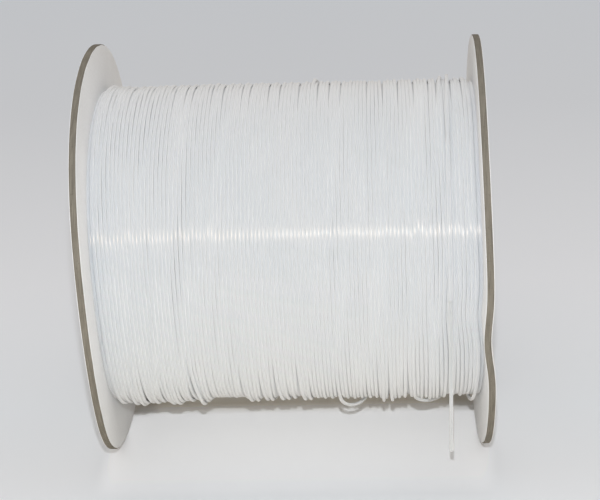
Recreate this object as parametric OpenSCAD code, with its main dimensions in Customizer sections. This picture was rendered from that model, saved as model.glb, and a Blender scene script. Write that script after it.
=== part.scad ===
// Paper-flanged filament spool, wound with round monofilament.
// The spool's axis lies along X. The origin is on the axis, midway between the two flanges.

/* [Flanges] */
// Outside diameter of each flange board
flange_d = 200; // [180:1:220]
// Thickness of the chipboard in a flange
board_t = 3; // [2:0.1:4]
// Chamfer pressed into the board's rim when it is die-cut
rim_chamfer = 0.4; // [0.2:0.1:0.8]
// Thickness of each white facing paper
paper_t = 0.3; // [0.2:0.05:0.5]
// How far each facing paper stops short of the board's rim
paper_setback = 0.5; // [0.4:0.1:1]

/* [Core] */
// Clear width between the facing papers, over which the filament is wound
traverse = 177; // [170:1:180]
// Inside diameter of the spiral-wound paper core
core_bore_d = 60; // [60:0.5:62]
// Thickness of the smooth ply that lines the core
liner_t = 0.6; // [0.4:0.1:1]
// Thickness of the core's structural plies
tube_wall = 5; // [4:0.1:6]
// Thickness of the ply wrapped round the outside of the core
wrap_t = 0.4; // [0.3:0.1:0.8]

/* [Hub bushes] */
// Diameter of the spindle bore through both bushes
spindle_d = 52; // [48:0.5:53]
// Outside diameter of the collar that clamps the flange
collar_d = 80; // [76:1:82]
// Thickness of the collar
collar_t = 2; // [2:0.1:3]
// Length of the barrel, from the collar's inner face
barrel_len = 25; // [15:1:40]
// Wall of the barrel between its ribs
barrel_wall = 2.2; // [1.5:0.1:2.5]
// Number of crush ribs round the barrel
rib_count = 8; // [4:1:12]
// Width of one crush rib
rib_w = 2.4; // [1.5:0.1:4]
// Radial gap between a rib's crest and the core
rib_gap = 0.1; // [0.05:0.05:0.2]

/* [Filament] */
// Diameter of the filament
filament_d = 1.75; // [1.5:0.05:2]
// Outside diameter of the winding
wound_d = 154.8; // [150:0.1:160]
// Number of loops in the outer layer, counted with the one that crosses back
loops = 24; // [20:1:24]
// How far a common loop droops below the winding, at most
droop = 1.3; // [0:0.1:2]
// How far the slackest loop droops below the winding
slack_droop = 4.4; // [2:0.1:8]
// Distance of the slackest loop from the spool's middle
slack_loop_x = 27.7; // [20:0.1:40]
// How far the second slack loop droops
second_droop = 2.6; // [1:0.1:5]
// Distance of the second slack loop from the spool's middle
second_loop_x = 65; // [55:1:75]
// How far the last loop rides above the ones it crosses
crossing_lift = 2.4; // [2.3:0.1:3]

/* [Filament ends] */
// Distance of the hanging free end from the spool's middle
free_end_x = 74; // [70:1:78]
// Distance of the start slot's outer end from the axis
start_slot_reach = 50; // [49:0.5:52]
// Radial length of the start slot
start_slot_len = 7; // [6.5:0.5:8]
// Width of the start slot
start_slot_w = 3; // [2.5:0.1:4]
// Length of the start tail that lies on the left flange's outer paper
tail_len = 18; // [8:1:24]

/* [Hidden] */
$fn = 128;
left = -1;
right = 1;

// Colours
chipboard_colour = "#8b7f6e";
paper_colour = "#e6e6e2";
kraft_colour = "#b39a78";
bush_colour = "#b8bab8";
filament_colour = "#eef1f2";

// Flange stack, outward from the winding
half_traverse = traverse / 2;
flange_r = flange_d / 2;
board_z = paper_t;
outer_paper_z = board_z + board_t;
collar_z = outer_paper_z + paper_t;
flange_hole_d = core_bore_d;
// How far a cutting shape runs past what it cuts
cut_past = 1;

// Core layers
liner_od = core_bore_d + 2 * liner_t;
tube_od = liner_od + 2 * tube_wall;
core_od = tube_od + 2 * wrap_t;

// Bushes
barrel_crest_d = core_bore_d - 2 * rib_gap;
barrel_d = spindle_d + 2 * barrel_wall;
barrel_lead_in = 2;
// How deep a rib is rooted in the barrel's wall and in the collar
rib_root = 1;
// Distance from the barrel's lead-in to the start of each rib
rib_setback = 1;
bore_chamfer = 1;
collar_edge = 0.8;

// Outer layer: one unbroken strand whose centre line lies on the radius turn_r.
// A straight run between two rings dips below that radius, so the pack stays clear of it.
rings = 19;
half_rings = floor(rings / 2);
turn_sides = 6;
ring_step = 360 / rings;
turn_r = (wound_d - filament_d) / 2;
ring_dip = turn_r * (1 - cos(ring_step / 2));
pack_clearance = 0.1;
pack_r = turn_r - filament_d / 2 - ring_dip - pack_clearance;
bend_r = 2.5;
bend_steps = 3;
straight_end = filament_d;
first_loop_x = -half_traverse + straight_end + bend_r;
end_gap = 2.5;
last_loop_x = half_traverse - filament_d / 2 - end_gap;
climb_loops = loops - 1;
pitch = (last_loop_x - first_loop_x) / climb_loops;
lift_share = 0.25;

// Droop of the loops on the lower side, which the strand's own weight pulls slack.
// Angles run from the front (0) over the bottom (90) to the back (180).
droop_angle = 72;
droop_spread = 52;
slack_loop = round((slack_loop_x - first_loop_x) / pitch - droop_angle / 360);
second_loop = round((second_loop_x - first_loop_x) / pitch - droop_angle / 360);
least_droop_share = 0.35;
droop_beat = 137;

// Route of the free end, which hangs from the last loop at the front of the winding
free_end_sides = 8;
free_end_front = turn_r + crossing_lift;
free_end_drops = [0, 5, 10, 15, 20, 25, 30, 35, 40, 45, 50, 55, 60, 65, 70, 74];

// Start tail: out through the slot, then up the flange's outer paper
tail_sides = 8;
tail_bend_r = 2.75;
tail_paper_gap = 0.055;
tail_bend_steps = 5;
tail_slot_gap = 0.75;
tail_shares = [1 / 3, 2 / 3, 1];
tail_x = -half_traverse - collar_z - tail_paper_gap - filament_d / 2;
tail_z = start_slot_reach - start_slot_len + tail_slot_gap + filament_d / 2;

// ---- helpers ----

// Puts a part that is drawn outward along +Z from the winding's end on one side of the spool.
module on_side(side) {
    rotate([0, 90 * side, 0]) translate([0, 0, half_traverse]) children();
}

// Lays a part that is drawn along Z, centred on the origin, along the spool's axis.
module along_axis() {
    rotate([0, 90, 0]) children();
}

module ring(outer_d, inner_d, height) {
    difference() {
        cylinder(d = outer_d, h = height);
        translate([0, 0, -cut_past]) cylinder(d = inner_d, h = height + 2 * cut_past);
    }
}

// A slot with round ends that runs outward along X and ends at start_slot_reach.
module start_slot() {
    inner_x = start_slot_reach - start_slot_len + start_slot_w / 2;
    outer_x = start_slot_reach - start_slot_w / 2;
    depth = collar_z + 2 * cut_past;
    translate([0, 0, -cut_past]) {
        for (x = [inner_x, outer_x]) translate([x, 0, 0]) cylinder(d = start_slot_w, h = depth);
        translate([inner_x, -start_slot_w / 2, 0]) cube([outer_x - inner_x, start_slot_w, depth]);
    }
}

function unit(v) = v / norm(v);
function smooth(t) = t * t * (3 - 2 * t);
function clamp01(t) = min(1, max(0, t));

// Direction of the strand at point i
function heading(route, i) =
    unit(route[min(i + 1, len(route) - 1)] - route[max(i - 1, 0)]);

// One ring of the tube, square to the strand, with a corner turned towards the given side
function tube_ring(centre, direction, side, d, sides) =
    let (across = unit(cross(direction, side)), up = cross(across, direction))
    [for (k = [0 : sides - 1]) let (a = 360 * k / sides) centre + d / 2 * (up * cos(a) + across * sin(a))];

// A closed tube along a route. towards[i] is any direction that isn't along the strand at point i.
module strand(route, towards, d, sides) {
    count = len(route);
    points = [for (i = [0 : count - 1])
        each tube_ring(route[i], heading(route, i), towards[i], d, sides)];
    walls = [for (i = [0 : count - 2], k = [0 : sides - 1])
        let (a = i * sides + k, b = i * sides + (k + 1) % sides, c = a + sides, e = b + sides)
        each [[a, b, e], [a, e, c]]];
    first_cap = [for (k = [1 : sides - 2]) [0, k + 1, k]];
    base = (count - 1) * sides;
    last_cap = [for (k = [1 : sides - 2]) [base, base + k, base + k + 1]];
    polyhedron(points = points, faces = concat(walls, first_cap, last_cap), convexity = 10);
}

// ---- the strand's routes ----

// A point at distance r from the axis. Angle 0 is the front, 90 the bottom.
function around(x, angle, r) = [x, -r * cos(angle), -r * sin(angle)];

// How far loop k droops at its lowest
function loop_droop(k) =
    k == slack_loop ? slack_droop :
    k == second_loop ? second_droop :
    droop * (least_droop_share + (1 - least_droop_share) * abs(sin(k * droop_beat)));

// Share of the droop at an angle: 1 in the middle of the slack stretch, 0 outside it
function droop_share(angle) =
    let (away = abs((angle % 360) - droop_angle) / droop_spread)
    away < 1 ? pow(cos(90 * away), 2) : 0;

// Progress through the last loop, which rises and crosses back to the free end
function crossing(i) = clamp01((i - climb_loops * rings) / rings);

function turn_x(i) = crossing(i) > 0
    ? last_loop_x + (free_end_x - last_loop_x) * smooth(crossing(i))
    : first_loop_x + pitch * i / rings;

function turn_radius(i) =
    turn_r + crossing_lift * smooth(clamp01(crossing(i) / lift_share))
    + loop_droop(floor(i / rings)) * droop_share(i * ring_step) * (crossing(i) > 0 ? 0 : 1);

// From the left facing paper, square to it, round a bend into the first loop
function start_bend() = concat(
    [around(-half_traverse, -bend_r * 180 / (PI * turn_r), turn_r)],
    [for (s = [0 : bend_steps - 1])
        let (a = 90 * s / bend_steps, along = -bend_r + bend_r * (1 - cos(a)))
        around(first_loop_x - bend_r + bend_r * sin(a), along * 180 / (PI * turn_r), turn_r)]);

turns = [for (i = [0 : loops * rings]) around(turn_x(i), i * ring_step, turn_radius(i))];
turns_end = turns[len(turns) - 1] - [0, 0, straight_end];
outer_route = concat(start_bend(), turns, [turns_end]);

// The least gap between the strand and itself, from each point to those half a loop to two loops on
least_gap = min([for (i = [0 : len(outer_route) - half_rings - 1])
    min([for (j = [i + half_rings : min(i + 2 * rings, len(outer_route) - 1)])
        norm(outer_route[i] - outer_route[j])])]) - filament_d;
echo(str("loops ", loops, ", least gap between loops ", least_gap, " mm"));

free_end_route = [for (drop = free_end_drops) turns_end - [0, 0, drop]];

tail_bend = [for (s = [0 : tail_bend_steps])
    let (a = 90 * s / tail_bend_steps)
    [tail_x + tail_bend_r * (1 - sin(a)), 0, tail_z + tail_bend_r * (1 - cos(a))]];
tail_route = concat(
    [[-half_traverse, 0, tail_z]],
    tail_bend,
    [for (share = tail_shares) [tail_x, 0, tail_z + tail_bend_r + share * tail_len]]);

// ---- flanges ----

module flange_board(side) {
    profile = [
        [flange_hole_d / 2, 0],
        [flange_r - rim_chamfer, 0],
        [flange_r, rim_chamfer],
        [flange_r, board_t - rim_chamfer],
        [flange_r - rim_chamfer, board_t],
        [flange_hole_d / 2, board_t]];
    color(chipboard_colour) on_side(side) difference() {
        translate([0, 0, board_z]) rotate_extrude() polygon(profile);
        if (side == left) start_slot();
    }
}

module facing_paper(side, z) {
    color(paper_colour) on_side(side) difference() {
        translate([0, 0, z]) ring(flange_d - 2 * paper_setback, flange_hole_d, paper_t);
        if (side == left) start_slot();
    }
}

module flange_board_left() { flange_board(left); }
module flange_board_right() { flange_board(right); }
module inner_paper_left() { facing_paper(left, 0); }
module inner_paper_right() { facing_paper(right, 0); }
module outer_paper_left() { facing_paper(left, outer_paper_z); }
module outer_paper_right() { facing_paper(right, outer_paper_z); }

// ---- core ----

module core_layer(outer_d, inner_d) {
    color(kraft_colour) along_axis() translate([0, 0, -half_traverse]) ring(outer_d, inner_d, traverse);
}

module core_liner() { core_layer(liner_od, core_bore_d); }
module core_tube() { core_layer(tube_od, liner_od); }
module core_wrap() { core_layer(core_od, tube_od); }

// ---- hub bushes ----

// A collar against the flange and a ribbed barrel that reaches into the core
module hub_bush(side) {
    bore_r = spindle_d / 2;
    collar_r = collar_d / 2;
    barrel_r = barrel_d / 2;
    face_z = collar_z + collar_t;
    end_z = collar_z - barrel_len;
    profile = [
        [bore_r, end_z],
        [barrel_r - barrel_lead_in / 2, end_z],
        [barrel_r, end_z + barrel_lead_in],
        [barrel_r, collar_z],
        [collar_r, collar_z],
        [collar_r, face_z - collar_edge],
        [collar_r - collar_edge, face_z],
        [bore_r + bore_chamfer, face_z],
        [bore_r, face_z - bore_chamfer]];
    color(bush_colour) on_side(side) {
        rotate_extrude() polygon(profile);
        for (k = [0 : rib_count - 1]) rotate([0, 0, 360 * k / rib_count]) crush_rib(end_z);
    }
}

// A rib along the barrel, whose flat crest just clears the core at its two edges
module crush_rib(end_z) {
    root_x = barrel_d / 2 - rib_root;
    crest_x = sqrt(pow(barrel_crest_d / 2, 2) - pow(rib_w / 2, 2));
    start_z = end_z + barrel_lead_in + rib_setback;
    translate([root_x, -rib_w / 2, start_z])
        cube([crest_x - root_x, rib_w, collar_z + rib_root - start_z]);
}

module hub_bush_left() { hub_bush(left); }
module hub_bush_right() { hub_bush(right); }

// ---- filament ----

module filament_pack() {
    color(filament_colour) along_axis() translate([0, 0, -half_traverse]) ring(2 * pack_r, core_od, traverse);
}

module filament_outer_turns() {
    outward = [for (p = outer_route) [0, p[1], p[2]]];
    color(filament_colour) strand(outer_route, outward, filament_d, turn_sides);
}

module filament_free_end() {
    outward = [for (p = free_end_route) [0, -1, 0]];
    color(filament_colour) strand(free_end_route, outward, filament_d, free_end_sides);
}

module filament_start_tail() {
    sideways = [for (p = tail_route) [0, 1, 0]];
    color(filament_colour) strand(tail_route, sideways, filament_d, tail_sides);
}

flange_board_left();
flange_board_right();
inner_paper_left();
inner_paper_right();
outer_paper_left();
outer_paper_right();
core_liner();
core_tube();
core_wrap();
hub_bush_left();
hub_bush_right();
filament_pack();
filament_outer_turns();
filament_free_end();
filament_start_tail();
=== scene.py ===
import math
import bmesh
import bpy
import numpy as np
from mathutils import Matrix, Vector


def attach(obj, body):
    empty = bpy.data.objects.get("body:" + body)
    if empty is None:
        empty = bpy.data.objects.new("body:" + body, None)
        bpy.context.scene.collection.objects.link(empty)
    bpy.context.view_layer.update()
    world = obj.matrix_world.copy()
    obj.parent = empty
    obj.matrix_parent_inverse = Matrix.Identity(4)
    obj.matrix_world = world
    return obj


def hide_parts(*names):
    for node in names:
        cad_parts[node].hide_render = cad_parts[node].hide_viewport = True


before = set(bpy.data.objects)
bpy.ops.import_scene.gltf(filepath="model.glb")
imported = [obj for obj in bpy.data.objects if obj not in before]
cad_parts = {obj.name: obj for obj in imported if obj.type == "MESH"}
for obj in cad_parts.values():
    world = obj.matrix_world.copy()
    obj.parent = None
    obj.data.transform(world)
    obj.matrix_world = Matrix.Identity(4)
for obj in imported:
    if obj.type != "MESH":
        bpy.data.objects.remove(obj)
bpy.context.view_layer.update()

# ---- sizes, in metres, in the part's own frame: the spool's axis is X, its middle is the origin ----

MM = 0.001
HALF_TRAVERSE = 88.5 * MM
FLANGE_R = 100 * MM
FLOOR_Z = -FLANGE_R
BOARD_T = 3.0 * MM
PAPER_T = 0.3 * MM
PAPER_R = 99.5 * MM
CORE_R = 36 * MM
FILAMENT_D = 1.75 * MM
FILAMENT_R = FILAMENT_D / 2
TURN_R = 76.525 * MM          # centre line of the outer layer
CROSSING_LIFT = 2.4 * MM      # how far the last turn rides above the ones it crosses
FREE_END_X = 74 * MM
LAST_TURN_X = 85.125 * MM     # where the outer layer ends, at the right flange
FIRST_TURN_X = -87.4 * MM
STRAIGHT_END = FILAMENT_D     # how far the last turn runs straight down before the free end
FREE_END_TOP = (FREE_END_X, -(TURN_R + CROSSING_LIFT), -STRAIGHT_END)
SLOT_W = 3 * MM
SLOT_INNER_R = 43 * MM
SLOT_OUTER_R = 50 * MM

LEFT, RIGHT = -1, 1
SIDE_NAMES = {LEFT: "left", RIGHT: "right"}


# ---- camera ----

# The focal length, place and turns are a fit to the outlines of the rims and the winding in the photograph
IMAGE_W = 600
FOCAL_PX = 1773
SENSOR_MM = 36
ELEVATION = math.radians(20)
CAMERA_X = 0.0507
CAMERA_DISTANCE = 0.868
CAMERA_YAW = math.radians(3.13)
CAMERA_PITCH = math.radians(-0.29)
CAMERA_ROLL = math.radians(1.21)
CLIP_END = 20


def make_camera():
    data = bpy.data.cameras.new("camera")
    data.sensor_width = SENSOR_MM
    data.lens = FOCAL_PX * SENSOR_MM / IMAGE_W
    data.clip_end = CLIP_END
    camera = bpy.data.objects.new("camera", data)
    bpy.context.scene.collection.objects.link(camera)
    camera.matrix_world = (
        Matrix.Rotation(-ELEVATION, 4, "X")
        @ Matrix.Translation((CAMERA_X, -CAMERA_DISTANCE, 0))
        @ Matrix.Rotation(CAMERA_YAW, 4, "Z")
        @ Matrix.Rotation(CAMERA_PITCH, 4, "X")
        @ Matrix.Rotation(CAMERA_ROLL, 4, "Y")
        @ Matrix.Rotation(math.radians(90), 4, "X"))
    bpy.context.scene.camera = camera
    return camera


# ---- materials ----

WHITE = (1, 1, 1)
ROUNDED_SHARE = 0.3           # how far a strand's shading is turned towards the winding's own round
STREAK_SHARE = 0.3            # the same for its gloss coat
SCRATCH_SCALE = 3000          # fine scratches along the strands, per metre
SCRATCH_MEAN = 0.53           # taken off their noise, so that they lean to neither side
SCRATCH_SPREAD = 1.2          # how far they spread a highlight sideways


class Shader:
    """A node material that is built from one Principled shader."""

    def __init__(self, name, **sockets):
        self.material = bpy.data.materials.new(name)
        self.material.use_nodes = True
        self.nodes = self.material.node_tree.nodes
        self.links = self.material.node_tree.links
        self.principled = self.nodes["Principled BSDF"]
        for socket, value in sockets.items():
            self.principled.inputs[socket.replace("_", " ")].default_value = value

    def add(self, kind, **settings):
        node = self.nodes.new(kind)
        for name, value in settings.items():
            setattr(node, name, value)
        return node

    def link(self, out, into):
        self.links.new(out, into)

    def math(self, operation, a, b=None):
        node = self.add("ShaderNodeMath", operation=operation)
        for socket, value in zip(node.inputs, (a, b)):
            if isinstance(value, (int, float)):
                socket.default_value = value
            elif value is not None:
                self.link(value, socket)
        return node.outputs[0]

    def vector_math(self, operation, *vectors, output="Vector"):
        node = self.add("ShaderNodeVectorMath", operation=operation)
        for socket, vector in zip(node.inputs, vectors):
            if isinstance(vector, tuple):
                socket.default_value = vector
            else:
                self.link(vector, socket)
        return node.outputs[output]

    def parts(self, vector):
        """The X, Y and Z of a vector."""
        node = self.add("ShaderNodeSeparateXYZ")
        self.link(vector, node.inputs[0])
        return node.outputs

    def joined(self, x=None, y=None, z=None):
        """A vector from its parts. A part that is left out is 0."""
        node = self.add("ShaderNodeCombineXYZ")
        for socket, value in zip(node.inputs, (x, y, z)):
            if value is not None:
                self.link(value, socket)
        return node.outputs[0]

    def map_range(self, value, interpolation="LINEAR", **limits):
        """Each limit is named as the node names it, such as To_Min."""
        node = self.add("ShaderNodeMapRange", interpolation_type=interpolation)
        for socket, limit in limits.items():
            node.inputs[socket.replace("_", " ")].default_value = limit
        self.link(value, node.inputs["Value"])
        return node.outputs[0]

    def place(self):
        """The point's own coordinates in the object, in metres."""
        return self.add("ShaderNodeTexCoord").outputs["Object"]

    def around(self, along, about):
        """Coordinates for noise about the spool's axis: along and out from it, then round it."""
        x, y, z = self.parts(self.place())
        squares = self.math("ADD", self.math("MULTIPLY", y, y), self.math("MULTIPLY", z, z))
        radius = self.math("SQRT", squares)
        run = self.math("ADD", self.math("MULTIPLY", x, along), radius)
        # The two parts of a unit circle stand in for the angle, so that no seam shows
        turn_y = self.math("MULTIPLY", self.math("DIVIDE", y, radius), about)
        turn_z = self.math("MULTIPLY", self.math("DIVIDE", z, radius), about)
        return self.joined(run, turn_y, turn_z)

    def noise(self, vector, scale, detail, roughness=0.5):
        node = self.add("ShaderNodeTexNoise")
        node.inputs["Scale"].default_value = scale
        node.inputs["Detail"].default_value = detail
        node.inputs["Roughness"].default_value = roughness
        self.link(vector, node.inputs["Vector"])
        return node.outputs["Fac"]

    def ramp(self, value, *stops):
        """A colour ramp through (position, colour) stops."""
        node = self.add("ShaderNodeValToRGB")
        elements = node.color_ramp.elements
        while len(elements) < len(stops):
            elements.new(0.5)
        for element, (position, colour) in zip(elements, stops):
            element.position = position
            element.color = (*colour, 1)
        self.link(value, node.inputs[0])
        return node.outputs["Color"]

    def mix(self, factor, a, b, blend="MIX"):
        node = self.add("ShaderNodeMix", data_type="RGBA", blend_type=blend)
        for socket, value in ((node.inputs[0], factor), (node.inputs[6], a), (node.inputs[7], b)):
            if isinstance(value, (int, float)):
                socket.default_value = value
            elif isinstance(value, tuple):
                socket.default_value = (*value, 1)
            else:
                self.link(value, socket)
        return node.outputs[2]

    def colour(self, value):
        self.link(value, self.principled.inputs["Base Color"])

    def roughness(self, value, low, high):
        self.link(self.map_range(value, To_Min=low, To_Max=high), self.principled.inputs["Roughness"])

    def radial(self):
        """The direction away from the spool's axis, in the object."""
        return self.vector_math("NORMALIZE", self.vector_math("MULTIPLY", self.place(), (0, 1, 1)))

    def to_world(self, direction):
        """Turns a direction in the object into world space."""
        node = self.add("ShaderNodeVectorTransform", vector_type="NORMAL",
                        convert_from="OBJECT", convert_to="WORLD")
        self.link(direction, node.inputs[0])
        return node.outputs[0]

    def outward(self):
        """The direction away from the spool's axis, in world space."""
        return self.to_world(self.radial())

    def surface_normal(self):
        return self.add("ShaderNodeNewGeometry").outputs["Normal"]

    def facing_out(self):
        """1 on a strand's crest, 0 on its flanks and its underside."""
        return self.vector_math("DOT_PRODUCT", self.surface_normal(), self.outward(), output="Value")

    def rounded_normal(self, share):
        """Turns the shading normal towards the winding's own round, as light does that spreads between
        the strands."""
        blend = self.add("ShaderNodeMix", data_type="VECTOR")
        blend.inputs["Factor"].default_value = share
        self.link(self.surface_normal(), blend.inputs[4])
        self.link(self.outward(), blend.inputs[5])
        self.link(self.vector_math("NORMALIZE", blend.outputs[1]), self.principled.inputs["Normal"])

    def streak_normal(self, share, spread):
        """The gloss coat's normal: level across the strands but for fine scratches along them, which
        spread a highlight sideways, so that it runs on from strand to strand."""
        normal = self.add("ShaderNodeTexCoord").outputs["Normal"]
        level = self.vector_math("MULTIPLY", normal, (0, 1 - share, 1 - share))
        rounded = self.vector_math("MULTIPLY_ADD", self.radial(), (share, share, share), level)
        scratches = self.noise(self.place(), SCRATCH_SCALE, detail=1)
        aside = self.math("MULTIPLY", self.math("SUBTRACT", scratches, SCRATCH_MEAN), spread)
        scratched = self.to_world(self.vector_math("ADD", rounded, self.joined(x=aside)))
        self.link(self.vector_math("NORMALIZE", scratched), self.principled.inputs["Coat Normal"])

    def bump(self, height, distance, strength):
        node = self.add("ShaderNodeBump")
        node.inputs["Strength"].default_value = strength
        node.inputs["Distance"].default_value = distance
        self.link(height, node.inputs["Height"])
        self.link(node.outputs[0], self.principled.inputs["Normal"])


def srgb(r, g, b):
    """An 8-bit sRGB colour in linear light."""
    return tuple(((v / 255 + 0.055) / 1.055) ** 2.4 if v > 10 else v / 255 / 12.92 for v in (r, g, b))


def filament_material(name, flank, crest):
    """Translucent filament, from the colours of a strand's flanks and of its crest; the paler flanks are
    painted light.
    """
    shader = Shader(name, Roughness=0.18, IOR=1.46, Sheen_Weight=1.0, Sheen_Roughness=0.8,
                    Subsurface_Weight=1.0, Subsurface_Scale=1.0 * MM,
                    Coat_Weight=0.13, Coat_Roughness=0.145, Coat_IOR=1.5)
    shader.principled.inputs["Specular IOR Level"].default_value = 0.35
    shader.principled.inputs["Subsurface Radius"].default_value = (1.0, 1.0, 1.0)
    shader.principled.inputs["Specular Tint"].default_value = (1.0, 0.7, 0.4, 1)
    drift = shader.noise(shader.around(along=1, about=0.03), scale=60, detail=2)
    drifting = shader.ramp(drift, (0.3, srgb(249, 251, 252)), (0.7, WHITE))
    # Painted light: the flanks are paler than the crests, which lifts the shade in the grooves between the
    # strands, where they pass light on to each other
    depth = shader.ramp(shader.facing_out(), (0.1, flank), (0.9, crest))
    shader.colour(shader.mix(1.0, drifting, depth, "MULTIPLY"))
    shader.rounded_normal(ROUNDED_SHARE)
    shader.streak_normal(STREAK_SHARE, SCRATCH_SPREAD)
    return shader.material


def paper_material():
    shader = Shader("facing_paper", Roughness=0.85, IOR=1.4, Sheen_Weight=0.2, Sheen_Roughness=0.5)
    mottle = shader.noise(shader.place(), scale=35, detail=4)
    fibres = shader.noise(shader.place(), scale=900, detail=4, roughness=0.65)
    base = shader.ramp(mottle, (0.3, srgb(231, 232, 234)), (0.7, srgb(239, 240, 242)))
    threads = shader.ramp(fibres, (0.35, srgb(196, 194, 188)), (0.6, WHITE))
    shader.colour(shader.mix(0.12, base, threads, "MULTIPLY"))
    shader.bump(fibres, distance=0.04 * MM, strength=0.5)
    return shader.material


def chipboard_material():
    shader = Shader("chipboard", Roughness=0.95, IOR=1.35)
    plies = shader.noise(shader.around(along=1, about=0.006), scale=1500, detail=3, roughness=0.6)
    patches = shader.noise(shader.around(along=0.3, about=0.1), scale=45, detail=4, roughness=0.6)
    specks = shader.noise(shader.place(), scale=1400, detail=3, roughness=0.7)
    base = shader.ramp(plies, (0.3, srgb(114, 109, 99)), (0.5, srgb(133, 127, 116)),
                       (0.7, srgb(148, 142, 131)))
    tinted = shader.mix(shader.math("MULTIPLY", patches, 0.5), base, srgb(102, 100, 94))
    dark = shader.ramp(specks, (0.28, srgb(150, 140, 128)), (0.4, WHITE))
    shader.colour(shader.mix(0.6, tinted, dark, "MULTIPLY"))
    shader.bump(shader.math("ADD", plies, specks), distance=0.12 * MM, strength=0.8)
    return shader.material


def core_material():
    shader = Shader("core_board", Roughness=0.9, IOR=1.35)
    fibres = shader.noise(shader.around(along=1, about=0.02), scale=700, detail=4, roughness=0.65)
    patches = shader.noise(shader.place(), scale=40, detail=3)
    base = shader.ramp(fibres, (0.3, srgb(168, 140, 104)), (0.7, srgb(196, 168, 132)))
    shader.colour(shader.mix(shader.math("MULTIPLY", patches, 0.4), base, srgb(160, 134, 102)))
    shader.bump(fibres, distance=0.06 * MM, strength=0.6)
    return shader.material


def bush_material():
    shader = Shader("bush_plastic", Roughness=0.45, IOR=1.5)
    haze = shader.noise(shader.place(), scale=55, detail=3)
    grain = shader.noise(shader.place(), scale=2500, detail=2)
    shader.colour(shader.ramp(haze, (0.3, srgb(176, 178, 177)), (0.7, srgb(188, 190, 189))))
    shader.roughness(haze, low=0.4, high=0.52)
    shader.bump(grain, distance=0.015 * MM, strength=0.4)
    return shader.material


FILAMENT = filament_material("filament", srgb(243, 246, 250), srgb(196, 201, 207))
# Painted shade: the free end is a darker copy of the filament, as it hangs clear of the other strands, so
# less light comes back through it
FREE_END = filament_material("filament_end", srgb(229, 232, 235), srgb(187, 192, 196))
PAPER = paper_material()
CHIPBOARD = chipboard_material()
CORE_BOARD = core_material()
BUSH_PLASTIC = bush_material()


# ---- mesh helpers ----

def smooth(t):
    """Eases from 0 at 0 to 1 at 1."""
    t = np.clip(t, 0, 1)
    return t * t * (3 - 2 * t)


def window(angle, centre, spread):
    """1 at centre, falling smoothly to 0 at spread degrees on both sides of it."""
    away = np.abs((angle - centre + 180) % 360 - 180) / spread
    return np.where(away < 1, np.cos(np.minimum(away, 1) * np.pi / 2) ** 2, 0)


def around(x, angle, r):
    """Points at distance r from the axis. Angle 0 is the front, 90 the bottom, 180 the back."""
    a = np.radians(angle)
    return np.stack(np.broadcast_arrays(x, -r * np.cos(a), -r * np.sin(a)), -1)


def grid_faces(rows, columns, close_rows=False):
    """Quads over a grid of points whose columns close on themselves."""
    faces = []
    for i in range(rows if close_rows else rows - 1):
        a, b = i * columns, (i + 1) % rows * columns
        faces += [(a + k, a + (k + 1) % columns, b + (k + 1) % columns, b + k) for k in range(columns)]
    return faces


def mesh_object(name, points, faces, material):
    mesh = bpy.data.meshes.new(name)
    mesh.from_pydata(np.asarray(points).reshape(-1, 3).tolist(), [], faces)
    mesh.validate()
    mesh.materials.append(material)
    mesh.shade_smooth()
    piece = bpy.data.objects.new(name, mesh)
    bpy.context.scene.collection.objects.link(piece)
    return piece


def outward_mesh(piece):
    """Turns all faces outward."""
    bm = bmesh.new()
    bm.from_mesh(piece.data)
    bmesh.ops.recalc_face_normals(bm, faces=bm.faces)
    bm.to_mesh(piece.data)
    bm.free()


def tube(name, route, radius, sides, material, reference):
    """A round tube along a route, closed at both ends. reference is a direction at each point that isn't
    along it."""
    ahead = np.gradient(route, axis=0)
    ahead /= np.linalg.norm(ahead, axis=1, keepdims=True)
    across = np.cross(ahead, reference)
    across /= np.linalg.norm(across, axis=1, keepdims=True)
    up = np.cross(across, ahead)
    turn = np.arange(sides) * 2 * np.pi / sides
    points = (route[:, None] + radius * (up[:, None] * np.cos(turn)[None, :, None]
                                         + across[:, None] * np.sin(turn)[None, :, None]))
    count = len(route)
    faces = grid_faces(count, sides)
    faces.append(tuple(range(sides))[::-1])
    faces.append(tuple((count - 1) * sides + k for k in range(sides)))
    piece = mesh_object(name, points, faces, material)
    outward_mesh(piece)
    return piece


def claim(piece, node):
    """Says which body a piece rides on and hides the CAD node that it replaces."""
    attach(piece, "root")
    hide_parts(node)
    return piece


# ---- the flanges' warp ----

# Each board leans and waves: its offset towards +X at the rim, in mm, is a sum of these waves round it.
# Their angles are measured from the direction of the camera, which lies 20 degrees above the front.
# These numbers and DENT_DEPTH are the result of a least-squares fit to the rims in the photograph, made
# by another script.
WARP = {
    LEFT: dict(level=-0.15, sin=(2.46, 0.45, 0.8), cos=(0.52, 0.55, -0.15)),
    RIGHT: dict(level=0.35, sin=(0.55, 0.54, 0.13), cos=(0.34, -0.14, -0.25)),
}
DENT_DEPTH = -2.03            # of the dent in the right rim, in mm
DENT_ANGLE = 28
DENT_WIDTH = 9
WARP_FROM_R = 45 * MM         # the warp grows from here
WARP_FULL_R = 97 * MM         # to here
WARP_REACH = 40 * MM          # how far into the winding the turns give way to a leaning flange


def rim_offset(side, angle):
    """How far a flange's rim leans towards +X at each angle."""
    seen = angle + math.degrees(ELEVATION)
    warp = WARP[side]
    offset = np.full_like(seen, warp["level"], dtype=float)
    for k, (s, c) in enumerate(zip(warp["sin"], warp["cos"]), 1):
        offset += s * np.sin(np.radians(k * seen)) + c * np.cos(np.radians(k * seen))
    if side == RIGHT:
        away = (seen - DENT_ANGLE + 180) % 360 - 180
        offset += DENT_DEPTH * np.exp(-(away / DENT_WIDTH) ** 2)
    return offset * MM


# Where each flange's rim is crushed a little at the top
WORN_FROM_R = 85 * MM
WORN_DEPTH = {LEFT: 1.7 * MM, RIGHT: 1.9 * MM}
WORN_ANGLE = 270
WORN_SPREAD = 60


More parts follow.
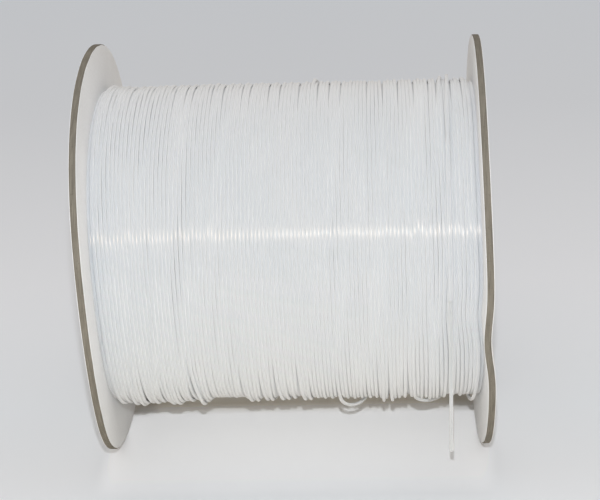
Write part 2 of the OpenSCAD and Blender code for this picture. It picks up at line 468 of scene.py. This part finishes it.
def warped(points):
    """Moves points with the flanges' warp: fully at and outside a flange's inner face, less further into
    the winding."""
    points = np.array(points, float)
    x, y, z = points[..., 0], points[..., 1], points[..., 2]
    angle = np.degrees(np.arctan2(-z, -y))
    radius = np.hypot(y, z)
    ramp = smooth((radius - WARP_FROM_R) / (WARP_FULL_R - WARP_FROM_R))
    edge = smooth((radius - WORN_FROM_R) / (FLANGE_R - WORN_FROM_R))
    depths = np.where(x < 0, WORN_DEPTH[LEFT], WORN_DEPTH[RIGHT])
    worn = edge * window(angle, WORN_ANGLE, WORN_SPREAD) * depths
    for side in (LEFT, RIGHT):
        depth = HALF_TRAVERSE - side * x
        points[..., 0] += rim_offset(side, angle) * ramp * smooth(1 - depth / WARP_REACH)
    points[..., 1:] *= (1 - worn / radius)[..., None]
    return points


# ---- flanges ----

RIM_STEPS = 360               # points round a flange
# The radii of the points across a face, in mm
FACE_RADII = [30, 33, 36, 40, 44, 48, 52, 57, 62, 67, 72, 77, 82, 87, 91, 94, 97, 98.6]
# Across the cut edge: depth from the inner face and distance out from the rim's radius, in mm
RIM_PROFILE = [(0, -0.45), (0.12, -0.16), (0.4, -0.02), (0.85, 0), (1.3, -0.05), (1.75, -0.02), (2.2, 0.0),
               (2.62, -0.03), (2.9, -0.18), (3.0, -0.45)]
EDGE_ROUGHNESS = 0.09 * MM
COARSE_SHARE = 0.7            # of the edge's roughness, in waves round the rim
FINE_SHARE = 0.45             # of the edge's roughness, drawn for each point
BOARD_WAVE_GAP = 6            # points between two drawn offsets of a wave
PAPER_WAVE_GAP = 4
PAPER_ROUGHNESS = 0.1 * MM
SHARP_ANGLE = math.radians(50)
SLOT_END_STEPS = 13           # points round each end of the slot
CUT_OUTSIDE = 10 * MM         # how far the slot's cutter reaches out of and into the winding's end
CUT_INSIDE = 5 * MM


def lathe(name, profile, steps, material, roughen=None):
    """A closed ring about X from a closed profile of (x, r) points, then warped. roughen changes the
    radii, which have a row for each step round the ring."""
    profile = np.array(profile)
    angle = np.arange(steps) * 360 / steps
    x = np.broadcast_to(profile[:, 0], (steps, len(profile)))
    r = np.broadcast_to(profile[:, 1], (steps, len(profile))).copy()
    if roughen is not None:
        roughen(r)
    points = warped(around(x, angle[:, None], r))
    piece = mesh_object(name, points, grid_faces(steps, len(profile), close_rows=True), material)
    outward_mesh(piece)
    return piece


def cut_start_slot(piece):
    """Cuts the radial slot with round ends through a left flange's board or paper."""
    inner = SLOT_INNER_R + SLOT_W / 2
    outer = SLOT_OUTER_R - SLOT_W / 2
    half_turn = np.linspace(0, np.pi, SLOT_END_STEPS)
    outline = [(SLOT_W / 2 * math.cos(a), outer + SLOT_W / 2 * math.sin(a)) for a in half_turn]
    outline += [(SLOT_W / 2 * math.cos(a), inner + SLOT_W / 2 * math.sin(a)) for a in half_turn + np.pi]
    count = len(outline)
    depth_range = (-HALF_TRAVERSE - CUT_OUTSIDE, -HALF_TRAVERSE + CUT_INSIDE)
    points = [(x, y, z) for x in depth_range for y, z in outline]
    faces = [tuple(range(count)), tuple(range(2 * count - 1, count - 1, -1))]
    faces += [(k, k + count, (k + 1) % count + count, (k + 1) % count) for k in range(count)]
    cutter = mesh_object("slot_cutter", points, faces, piece.data.materials[0])
    outward_mesh(cutter)
    modifier = piece.modifiers.new("slot", "BOOLEAN")
    modifier.object = cutter
    modifier.solver = "EXACT"
    graph = bpy.context.evaluated_depsgraph_get()
    mesh = bpy.data.meshes.new_from_object(piece.evaluated_get(graph))
    piece.modifiers.clear()
    piece.data = mesh
    bpy.data.objects.remove(cutter)


def rim_waves(steps, gap, rng):
    """Random offsets round a rim: one drawn every gap points, and a straight run between them."""
    drawn = rng.normal(0, 1, steps // gap)
    return np.interp(np.arange(steps), np.arange(0, steps + gap, gap), np.append(drawn, drawn[0]))


def flange_part(side, name, profile, material, roughen):
    """A board or a paper: a rough ring, with the start slot in the left one."""
    piece = lathe(name, profile, RIM_STEPS, material, roughen)
    if side == LEFT:
        cut_start_slot(piece)
    piece.data.shade_smooth()
    piece.data.set_sharp_from_angle(angle=SHARP_ANGLE)
    return piece


def make_board(side, rng):
    face_x = HALF_TRAVERSE + PAPER_T
    inner = [(side * face_x, r * MM) for r in FACE_RADII]
    rim = [(side * (face_x + x * MM), FLANGE_R + out * MM) for x, out in RIM_PROFILE]
    outer = [(side * (face_x + BOARD_T), r * MM) for r in reversed(FACE_RADII)]
    edge = slice(len(inner), len(inner) + len(rim))

    def roughen(r):
        steps = len(r)
        coarse = rim_waves(steps, BOARD_WAVE_GAP, rng)
        fine = rng.normal(0, 1, (steps, len(rim)))
        r[:, edge] += EDGE_ROUGHNESS * (COARSE_SHARE * coarse[:, None] + FINE_SHARE * fine)
        r[:, edge] = np.minimum(r[:, edge], FLANGE_R)

    name = SIDE_NAMES[side]
    piece = flange_part(side, f"{name}_board", inner + rim + outer, CHIPBOARD, roughen)
    return claim(piece, f"flange_board_{name}")


def make_paper(side, where, rng):
    """A facing paper, glued to the board's inner or outer face."""
    near_x = HALF_TRAVERSE if where == "inner" else HALF_TRAVERSE + PAPER_T + BOARD_T
    radii = [r * MM for r in FACE_RADII] + [PAPER_R]
    profile = [(side * near_x, r) for r in radii]
    profile += [(side * (near_x + PAPER_T), r) for r in reversed(radii)]
    edge = slice(len(radii) - 1, len(radii) + 1)

    def roughen(r):
        r[:, edge] += PAPER_ROUGHNESS * rim_waves(len(r), PAPER_WAVE_GAP, rng)[:, None]

    name = SIDE_NAMES[side]
    piece = flange_part(side, f"{name}_{where}_paper", profile, PAPER, roughen)
    return claim(piece, f"{where}_paper_{name}")


# ---- winding ----

SEGMENTS = 96                 # points on each turn
STRAND_SIDES = 8
TURN_PITCH = 1.785 * MM
TURNS = round((LAST_TURN_X - FIRST_TURN_X) / TURN_PITCH) + 1
LAYER_STEP = 1.52 * MM        # radial distance from the outer layer down to the one below

# Bunches into which the turns gather where they hang slack along the lower side: left edge, right edge,
# and how far the bunch hangs below the round of the winding, all in mm. They were read from a trace of the
# winding's lower edge in the photograph.
BUNCHES = [
    (-87.5, -79.4, 1.0), (-78.6, -72.0, 2.1), (-70.4, -64.6, 1.0), (-62.6, -53.6, 1.7), (-53.0, -49.8, 0.4),
    (-47.6, -40.2, 0.6), (-39.2, -24.6, -1.4), (-23.2, -16.8, 0.9), (-14.4, -9.8, 0.5), (-6.8, -2.6, 0.4),
    (-1.9, 1.4, -0.5), (4.2, 8.4, 0.6), (9.0, 20.6, -0.2), (21.4, 34.4, 0.2), (35.2, 41.0, 0.1),
    (41.8, 44.4, 1.7), (45.8, 49.6, 1.3), (50.2, 53.6, 0.2), (55.8, 61.8, 0.8), (62.4, 68.6, 1.2),
    (69.2, 72.6, 0.6), (73.4, 82.4, -0.9), (83.0, 87.6, 0.2)]
BUNCH_CENTRE = 74             # angle at which the bunches hang lowest, just past the bottom edge that shows
BUNCH_SPREAD = 50
BUNCH_MARGIN = 2              # how far past the outermost bunches a strand still belongs to them, in mm
BUNCH_ROUND = 0.5             # how much less a bunch hangs at its edges, in mm
BUNCH_UNEVEN = 0.12           # how far a strand in it departs from that, in mm
BUNCH_CENTRE_STRAY = 4        # how far a strand's lowest point departs from BUNCH_CENTRE, in degrees
BUNCH_SPREAD_STRAY = (-12, 6)  # and its spread from BUNCH_SPREAD

# Where small gaps open along the upper side, in mm from the middle
TOP_GAPS = [-81.8, -72, -64.1, -53.3, -48.4, -44, -36, -30.3, -21.5, -16.6, -8.8, -3.9, 6.3, 14.6, 19.9,
            26.2, 37.4, 45, 52, 59.2, 66, 76.6, 81.9]
TOP_GAP_W = 0.9
TOP_END = 88                  # where the row of gaps ends on both sides, in mm
TOP_BUNCHES = [(a + TOP_GAP_W / 2, b - TOP_GAP_W / 2)
               for a, b in zip([-TOP_END] + TOP_GAPS, TOP_GAPS + [TOP_END])]
TOP_CENTRE = 256
TOP_SPREAD = 34
TOP_SQUEEZE = 0.6             # the share by which a squeezed strand rises out of the row
TOP_ROUND = 0.2               # how much lower a bunch is at its edges, in mm
TOP_UNEVEN = 0.1              # how far a strand in it departs from that, in mm

# Turns that leave their place and ride over their neighbours:
# place in mm, angle of the middle, spread in degrees, sideways travel in mm
STRAYS = [(-45.4, 52, 34, 1.2), (-72, 190, 60, 3.4), (-30, 165, 80, -4.2), (12, 205, 70, 3.8),
          (58, 150, 60, -3.6), (70, 240, 50, 2.5), (-10, 118, 50, 2.6)]
STRAY_LIFT = 1.5              # how far a stray lies above the others, in mm
STRAY_RISE = 5                # how steeply it rises to that

# Hand-wound unevenness out from the axis and along it: each part is (waves per turn, height in mm)
WAVES_OUT = [(3.03, 0.12), (5.05, 0.14), (7.12, 0.18), (9.23, 0.16), (11.38, 0.12)]
WAVES_ALONG = [(2.02, 0.18), (4.05, 0.10), (6.11, 0.06)]
WAVE_KNOT_GAP = 5             # turns between two draws of a wave's drift and swell
WAVE_DRIFT = 0.35             # in turns, to both sides
WAVE_SWELL = (0.3, 1.3)
ANY_PHASE = 6.3               # radians
CALM_SHARE = 0.93             # how much of it is gone where the winding is calm
CALM_X = -2                   # the middle of that, in mm
CALM_REACH = 1.6              # how far from there it is back in full, in lengths of CALM_FADE
CALM_FADE = 20                # over how many mm it comes back


def at_passage(centre):
    """For each turn, where along X the strand passes an angle."""
    return FIRST_TURN_X + TURN_PITCH * (np.arange(TURNS + 1) + centre / 360)


def passing(turn, centre):
    """For each point, the passage of the strand through an angle that it is nearest to."""
    return np.floor(turn - centre / 360 + 0.5).astype(int).clip(0, TURNS)


def turn_near(place, centre):
    """The turn that passes an angle nearest to a place along X, in mm."""
    return int(np.argmin(np.abs(at_passage(centre) / MM - place)))


def gathered(x_mm, bunches):
    """Draws strands together into bunches. For each strand: its bunch, its place across the bunch from -1
    to 1, its new place in mm, and how far a neighbour is squeezed out of the row, in mm."""
    left, right = np.array([b[0] for b in bunches]), np.array([b[1] for b in bunches])
    middles = (right[:-1] + left[1:]) / 2
    edges = np.concatenate([[left[0] - BUNCH_MARGIN], middles, [right[-1] + BUNCH_MARGIN]])
    which = np.clip(np.searchsorted(edges, x_mm) - 1, 0, len(bunches) - 1)
    share = (x_mm - edges[which]) / (edges[which + 1] - edges[which])
    width = right[which] - left[which]
    step = TURN_PITCH / MM * width / (edges[which + 1] - edges[which])
    squeezed = np.sqrt(np.maximum((FILAMENT_D / MM) ** 2 - step ** 2, 0))
    return which, 2 * share - 1, left[which] + share * width, squeezed


def waves(turn, rng, parts):
    """Smooth random waves along the strand."""
    total = np.zeros_like(turn)
    knots = np.arange(0, TURNS + WAVE_KNOT_GAP + 1, WAVE_KNOT_GAP)
    for rate, height in parts:
        drift = np.interp(turn, knots, rng.uniform(-WAVE_DRIFT, WAVE_DRIFT, len(knots)))
        swell = np.interp(turn, knots, rng.uniform(*WAVE_SWELL, len(knots)))
        total += height * swell * np.sin(2 * np.pi * (rate * turn + drift) + rng.uniform(0, ANY_PHASE))
    return total * MM


# Loops that hang free from the lower side: where the strand leaves its place, how far along it touches
# down again and how low it hangs, in mm
LOOPS = [(21.0, 13.0, 4.4), (57.5, 15.5, 2.6)]
LOOP_LEAVES = 58              # angles round the winding
LOOP_LOW = 72
LOOP_SPREAD = 20
LOOP_CROSSES = 28
LOOP_RETURNS = 110
LOOP_BACK = 200
RIDE = 1.7                    # how far a strand lifts to ride over its neighbours, in mm
RIDE_ON = 10                  # degrees in which it climbs on to them
RIDE_OFF = 12                 # and down from them
LEAST_LIFT = 0.05             # below this it stays in its place, in mm

START_RISE = 0.3              # turns in which the start rises out of the layer below
LAST_HOLD = 4                 # the last turn is in its own line after one part in this many of it


def bunch_low(turn, angle, x, r, rng):
    """Hangs the turns in slack bunches along the lower side."""
    low_x = at_passage(BUNCH_CENTRE) / MM
    which, across, drawn_x, squeezed = gathered(low_x, BUNCHES)
    odd = np.arange(len(low_x)) % 2
    hang = np.array([b[2] for b in BUNCHES])[which] - BUNCH_ROUND * np.abs(across) ** 3
    hang = hang - squeezed * (1 - odd)
    hang += rng.uniform(-BUNCH_UNEVEN, BUNCH_UNEVEN, len(low_x))
    centre = BUNCH_CENTRE + rng.uniform(-BUNCH_CENTRE_STRAY, BUNCH_CENTRE_STRAY, len(low_x))
    spread = BUNCH_SPREAD + rng.uniform(*BUNCH_SPREAD_STRAY, len(low_x))
    passage = passing(turn, BUNCH_CENTRE)
    share = window(angle, centre[passage], spread[passage])
    r += share * hang[passage] * MM
    x += share * (drawn_x - low_x)[passage] * MM


def open_top(turn, angle, x, r, rng):
    """Opens small gaps along the upper side."""
    top_x = at_passage(TOP_CENTRE) / MM
    _, across, drawn_x, squeezed = gathered(top_x, TOP_BUNCHES)
    odd = np.arange(len(top_x)) % 2
    rise = squeezed * odd * TOP_SQUEEZE - TOP_ROUND * np.abs(across) ** 3
    rise = rise + rng.uniform(-TOP_UNEVEN, TOP_UNEVEN, len(top_x))
    passage = passing(turn, TOP_CENTRE)
    share = window(angle, TOP_CENTRE, TOP_SPREAD)
    r += share * rise[passage] * MM
    x += share * (drawn_x - top_x)[passage] * MM


def stray(turn, angle, x, r):
    """Takes a few turns out of their place and over their neighbours."""
    for place, mid_angle, spread, travel in STRAYS:
        nearest = turn_near(place, mid_angle)
        reach = np.abs(turn - nearest - mid_angle / 360) < spread / 360
        share = np.where(reach, window(angle, mid_angle, spread), 0)
        x += share * travel * MM
        r += np.minimum(share * STRAY_RISE, 1) * STRAY_LIFT * MM * (share > 0)


def hang_loops(turn, angle, x, r):
    """Hangs the two free loops. Each leaves its place low on the front, hangs, touches down further on
    underneath, and comes back to its place up the back."""
    for place, travel, drop in LOOPS:
        own = np.floor(turn) == turn_near(place, BUNCH_CENTRE)
        hang = drop * window(angle, LOOP_LOW, LOOP_SPREAD)
        ride = RIDE * smooth((angle - LOOP_LOW) / RIDE_ON) * (1 - smooth((angle - LOOP_BACK) / RIDE_OFF))
        aside = travel * smooth((angle - LOOP_LEAVES) / LOOP_CROSSES)
        aside *= 1 - smooth((angle - LOOP_RETURNS) / (LOOP_BACK - LOOP_RETURNS))
        lifted = np.maximum(hang, ride)
        r[:] = np.where(own & (lifted > LEAST_LIFT), np.maximum(r, TURN_R + lifted * MM), r)
        x += np.where(own, aside, 0) * MM


def winding_route(rng):
    """The outer layer's centre line, from the start to the top of the free end."""
    turn = np.arange(TURNS * SEGMENTS + 1) / SEGMENTS
    angle = turn % 1 * 360
    x = FIRST_TURN_X + TURN_PITCH * turn
    r = np.full_like(turn, TURN_R)

    calm = 1 - CALM_SHARE * smooth(CALM_REACH - np.abs(x / MM - CALM_X) / CALM_FADE)
    r += calm * waves(turn, rng, WAVES_OUT)
    x += calm * waves(turn, rng, WAVES_ALONG)

    bunch_low(turn, angle, x, r, rng)
    open_top(turn, angle, x, r, rng)
    stray(turn, angle, x, r)
    hang_loops(turn, angle, x, r)

    # The start rises out of the layer below
    r -= LAYER_STEP * (1 - smooth(turn / START_RISE))

    # The last turn lifts and crosses back to the free end
    last = np.clip(turn - (TURNS - 1), 0, 1)
    held = smooth(last * LAST_HOLD)
    line = LAST_TURN_X + (FREE_END_X - LAST_TURN_X) * smooth(last)
    x = np.where(last > 0, x + (line - x) * held, x)
    r = np.where(last > 0, r + (TURN_R + CROSSING_LIFT - r) * held, r)
    return np.vstack([warped(around(x, angle, r)), FREE_END_TOP])


def make_outer_turns(rng):
    route = winding_route(rng)
    outward = route * (0, 1, 1)
    piece = tube("outer_turns", route, FILAMENT_R, STRAND_SIDES, FILAMENT, outward)
    return claim(piece, "filament_outer_turns")


PACK_STEPS = 96               # points round the pack
RIDGE_AT = [-0.5, -0.3, -0.1, 0.1, 0.3]  # the points across a ridge, as shares of its width
VALLEY_SHARE = 0.98           # keeps the valleys between the ridges just short of a strand's full half


def make_pack():
    """The layers below, as a ring whose outside has the ridges of the next layer's strands."""
    count = round(2 * HALF_TRAVERSE / TURN_PITCH)
    pitch = 2 * HALF_TRAVERSE / count
    crest = TURN_R - LAYER_STEP + FILAMENT_R
    ridge = [(u * pitch, crest - FILAMENT_R * (1 - math.sqrt(1 - (2 * abs(u)) ** 2 * VALLEY_SHARE)))
             for u in RIDGE_AT]
    profile = [(-HALF_TRAVERSE + pitch * (k + 0.5) + dx, r) for k in range(count) for dx, r in ridge]
    profile.append((HALF_TRAVERSE, ridge[0][1]))
    profile += [(x, CORE_R) for x in (HALF_TRAVERSE, 0, -HALF_TRAVERSE)]
    piece = lathe("pack", profile, PACK_STEPS, FILAMENT)
    return claim(piece, "filament_pack")


# ---- free end and start tail ----

# How far down the free end its points are, in mm
FREE_END_DROPS = [0, 0.3, 5, 10, 15, 20, 25, 30, 35, 40, 45, 50, 55, 60, 65, 70, 73.7, 74]
FREE_END_BEVEL = 4


def make_free_end():
    """The end of the strand, which hangs at the front from the last turn."""
    top = Vector(FREE_END_TOP)
    curve = bpy.data.curves.new("free_end", "CURVE")
    curve.dimensions = "3D"
    curve.bevel_depth = FILAMENT_R
    curve.bevel_resolution = FREE_END_BEVEL
    curve.use_fill_caps = True
    spline = curve.splines.new("POLY")
    spline.points.add(len(FREE_END_DROPS) - 1)
    for point, drop in zip(spline.points, FREE_END_DROPS):
        point.co = (top.x, top.y, top.z - drop * MM, 1)
    curve.materials.append(FREE_END)
    piece = bpy.data.objects.new("free_end", curve)
    bpy.context.scene.collection.objects.link(piece)
    return claim(piece, "filament_free_end")


TAIL_X = -93.03 * MM
TAIL_Z = 44.625 * MM
TAIL_BEND_R = 2.75 * MM
TAIL_LEN = 18 * MM
TAIL_SIDES = 12
TAIL_BEND_STEPS = 9
TAIL_STEPS = 10


def make_start_tail():
    """The start end of the strand, out through the slot and up the left flange's outer paper."""
    bend = np.radians(np.linspace(0, 90, TAIL_BEND_STEPS))
    route = [(-HALF_TRAVERSE, 0, TAIL_Z)]
    route += [(TAIL_X + TAIL_BEND_R * (1 - math.sin(a)), 0, TAIL_Z + TAIL_BEND_R * (1 - math.cos(a)))
              for a in bend]
    route += [(TAIL_X, 0, TAIL_Z + TAIL_BEND_R + share * TAIL_LEN)
              for share in np.linspace(1 / TAIL_STEPS, 1, TAIL_STEPS)]
    sideways = np.tile([0.0, 1.0, 0.0], (len(route), 1))
    piece = tube("start_tail", warped(route), FILAMENT_R, TAIL_SIDES, FILAMENT, sideways)
    return claim(piece, "filament_start_tail")


# ---- floor, world and lamps ----

# The floor as it is seen. Its colours are painted on it and tuned by comparing renders with the photograph.
# From near to far: distance behind the spool in metres, colour
FLOOR_TINTS = [(-0.05, (0.65, 0.67, 0.7)), (0.02, (0.67, 0.7, 0.74)), (0.2, (0.69, 0.71, 0.75)),
               (0.6, (0.63, 0.66, 0.71)), (1.0, (0.63, 0.67, 0.73))]
# What that is multiplied by under the spool: painted light, paler where the spool keeps the room's light
# from the floor, then a painted brown shadow in a strip that shows just below the winding's lower edge
UNDER_TINTS = [(-0.075, (1.0, 1.0, 1.0)), (-0.01, (1.65, 1.6, 1.55)), (0.014, (1.75, 1.7, 1.65)),
               (0.028, (1.0, 0.9, 0.75)), (0.07, (1.0, 1.0, 1.0))]
# What that is multiplied by in the corners between the winding and the flanges: painted shade
CORNER_TINTS = [(0.012, WHITE), (0.02, (0.7, 0.7, 0.7)), (0.05, (0.7, 0.7, 0.7)), (0.07, WHITE)]
CORNER_FROM = (0.072, 0.082)  # the corners begin between these distances from the middle
UNDER_HALF_W = (0.087, 0.098)  # and the tints under the spool end between these
TINT_GAIN = 2.0               # the tints under the spool are divided by this, so that none is above 1
FLOOR_LEVEL = 1.3             # how bright the floor is seen, times its tints
FLOOR_SHADE = (0.985, 0.985, 0.985)
FLOOR_BOUNCE = srgb(250, 246, 238)  # the floor's colour for the light that it sends on to the spool
FLOOR_HALF = 4


def tints_along(shader, value, tints):
    """A colour that runs through (place, colour) stops along one coordinate."""
    near, far = tints[0][0], tints[-1][0]
    depth = shader.math("DIVIDE", shader.math("SUBTRACT", value, near), far - near)
    return shader.ramp(depth, *[((y - near) / (far - near), colour) for y, colour in tints])


def make_floor():
    shader = Shader("floor", Roughness=0.95, IOR=1.2)
    x, y, _ = shader.parts(shader.place())
    aside = shader.math("ABSOLUTE", x)
    beside, at_corner = CORNER_FROM
    corner = shader.map_range(aside, "SMOOTHSTEP", From_Min=beside, From_Max=at_corner)
    inside, outside = UNDER_HALF_W
    under = shader.map_range(aside, "SMOOTHSTEP", From_Min=inside, From_Max=outside, To_Min=1, To_Max=0)

    # Painted light and a painted shadow strip under the spool, with painted shade in its corners
    divided = [(place, tuple(c / TINT_GAIN for c in colour)) for place, colour in UNDER_TINTS]
    corner_painted_shade = shader.mix(corner, WHITE, tints_along(shader, y, CORNER_TINTS))
    below = shader.mix(1.0, tints_along(shader, y, divided), corner_painted_shade, "MULTIPLY")
    painted_light_and_shade = shader.mix(under, (1 / TINT_GAIN,) * 3, below)
    shade = shader.ramp(shader.noise(shader.place(), scale=1.5, detail=2), (0.3, FLOOR_SHADE), (0.7, WHITE))
    tinted = shader.mix(1.0, tints_along(shader, y, FLOOR_TINTS), shade, "MULTIPLY")
    seen = shader.add("ShaderNodeVectorMath", operation="SCALE")
    seen.inputs["Scale"].default_value = TINT_GAIN * FLOOR_LEVEL
    shader.link(shader.mix(1.0, tinted, painted_light_and_shade, "MULTIPLY"), seen.inputs[0])

    path = shader.add("ShaderNodeLightPath").outputs
    is_seen = shader.math("MAXIMUM", path["Is Camera Ray"],
                          shader.math("MAXIMUM", path["Is Glossy Ray"], path["Is Transmission Ray"]))
    shader.colour(shader.mix(is_seen, FLOOR_BOUNCE, seen.outputs[0]))
    corners = [(-FLOOR_HALF, -FLOOR_HALF), (FLOOR_HALF, -FLOOR_HALF),
               (FLOOR_HALF, FLOOR_HALF), (-FLOOR_HALF, FLOOR_HALF)]
    floor = mesh_object("floor", [(x, y, FLOOR_Z) for x, y in corners], [(0, 1, 2, 3)], shader.material)


ROOM_COLOUR = (1.0, 0.88, 0.76)
CEILING_COLOUR = (1.0, 0.99, 0.97)
ROOM_LIGHT = 0.36
CEILING_LIGHT = 0.48          # added to the room's light from straight above, and less from lower down
BACK_SHADE = 0.18             # taken off the room's light from straight behind, and less from the sides
FLASH_COLOUR = (0.97, 1.0, 1.03)
FLASH_ENERGY = 12.1
FLASH_RADIUS = 6 * MM
FLASH_ANGLE = math.radians(4.8)  # how far above the camera it is, seen from the spool


def make_world():
    """A warm room, dimmer behind the spool, under a neutral ceiling."""
    world = bpy.data.worlds.new("room")
    world.use_nodes = True
    nodes, links = world.node_tree.nodes, world.node_tree.links
    background = nodes["Background"]
    xyz = nodes.new("ShaderNodeSeparateXYZ")
    links.new(nodes.new("ShaderNodeTexCoord").outputs["Generated"], xyz.inputs[0])

    def math_node(operation, *values):
        node = nodes.new("ShaderNodeMath")
        node.operation = operation
        for socket, value in zip(node.inputs, values):
            if isinstance(value, (int, float)):
                socket.default_value = value
            else:
                links.new(value, socket)
        return node.outputs[0]

    above = math_node("MAXIMUM", xyz.outputs["Z"], 0)
    behind = math_node("MAXIMUM", xyz.outputs["Y"], 0)
    lit = math_node("MULTIPLY_ADD", above, CEILING_LIGHT, ROOM_LIGHT)
    links.new(math_node("MULTIPLY_ADD", behind, -BACK_SHADE, lit), background.inputs["Strength"])
    tint = nodes.new("ShaderNodeMix")
    tint.data_type = "RGBA"
    links.new(above, tint.inputs[0])
    tint.inputs[6].default_value = (*ROOM_COLOUR, 1)
    tint.inputs[7].default_value = (*CEILING_COLOUR, 1)
    links.new(tint.outputs[2], background.inputs["Color"])
    bpy.context.scene.world = world


def make_flash(camera):
    light = bpy.data.lights.new("flash", "POINT")
    light.energy = FLASH_ENERGY
    light.shadow_soft_size = FLASH_RADIUS
    light.color = FLASH_COLOUR
    lamp = bpy.data.objects.new("flash", light)
    lamp.location = Matrix.Rotation(-FLASH_ANGLE, 3, "X") @ camera.matrix_world.translation
    bpy.context.scene.collection.objects.link(lamp)


SEED = 7


def clothe(node, material):
    """Gives a CAD node its material."""
    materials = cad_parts[node].data.materials
    materials.clear()
    materials.append(material)


camera = make_camera()
make_free_end()

random_source = np.random.default_rng(SEED)
for side in (LEFT, RIGHT):
    make_board(side, random_source)
    for where in ("inner", "outer"):
        make_paper(side, where, random_source)
make_pack()
make_outer_turns(random_source)
make_start_tail()

for node in ("core_liner", "core_tube", "core_wrap"):
    clothe(node, CORE_BOARD)
for node in ("hub_bush_left", "hub_bush_right"):
    clothe(node, BUSH_PLASTIC)

make_floor()
make_world()
make_flash(camera)
bpy.context.scene.view_settings.view_transform = "Standard"
